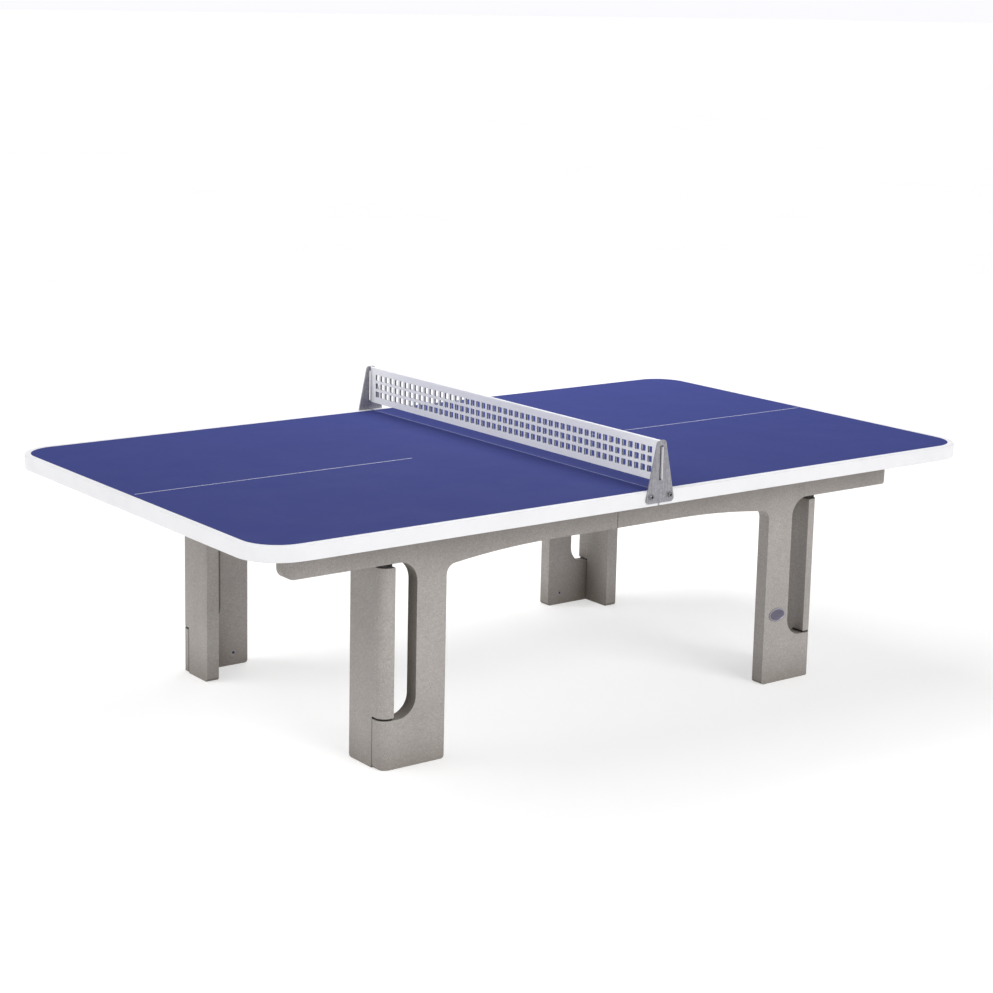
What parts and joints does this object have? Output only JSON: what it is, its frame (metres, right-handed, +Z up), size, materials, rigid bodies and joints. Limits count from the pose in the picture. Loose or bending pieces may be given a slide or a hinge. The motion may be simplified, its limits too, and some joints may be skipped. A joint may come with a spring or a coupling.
{
  "type": "outdoor ping pong table",
  "caption": "Outdoor ping pong table: split polymer concrete top with a coated surface and white border, on interlocking concrete panels, with a perforated steel net on side brackets.",
  "frame": {"origin": "on the floor at the centre of the table", "axes": "+X along the length of the table, +Y across it from front to back, +Z up"},
  "size_m": [2.74, 1.549, 0.913],
  "materials": {
    "white_edge": "satin",
    "blue_surface": "satin",
    "line_paint": "satin",
    "joint_sealant": "matte",
    "grey_concrete": "matte",
    "black_rubber": "matte",
    "galvanised_steel": "satin",
    "net_finish": "satin",
    "badge_metal": "satin"
  },
  "bodies": {
    "root": {"anchor_sockets": "galvanised_steel", "centre_line_left": "line_paint", "centre_line_right": "line_paint", "corner_angle_bolts": "galvanised_steel", "corner_angles": "galvanised_steel", "end_bearing_strips": "black_rubber", "end_frame_left": "grey_concrete", "end_frame_right": "grey_concrete", "frame_inserts": "galvanised_steel", "joint_plate_back": "galvanised_steel", "joint_plate_bolts": "galvanised_steel", "joint_plate_front": "galvanised_steel", "lower_interlock_pads": "black_rubber", "name_badge": "badge_metal", "net_bracket_back": "galvanised_steel", "net_bracket_bolts": "galvanised_steel", "net_bracket_front": "galvanised_steel", "net_bracket_inserts": "galvanised_steel", "net_bracket_washers": "galvanised_steel", "net_panel": "net_finish", "playing_surface_left": "blue_surface", "playing_surface_right": "blue_surface", "side_bearing_strips": "black_rubber", "side_frame_back_left": "grey_concrete", "side_frame_back_right": "grey_concrete", "side_frame_front_left": "grey_concrete", "side_frame_front_right": "grey_concrete", "slab_inserts": "galvanised_steel", "top_fixing_angles": "galvanised_steel", "top_fixing_bolts": "galvanised_steel", "top_joint_seal": "joint_sealant", "top_slab_left": "white_edge", "top_slab_right": "white_edge", "upper_interlock_pads": "black_rubber"}
  },
  "joints": []
}
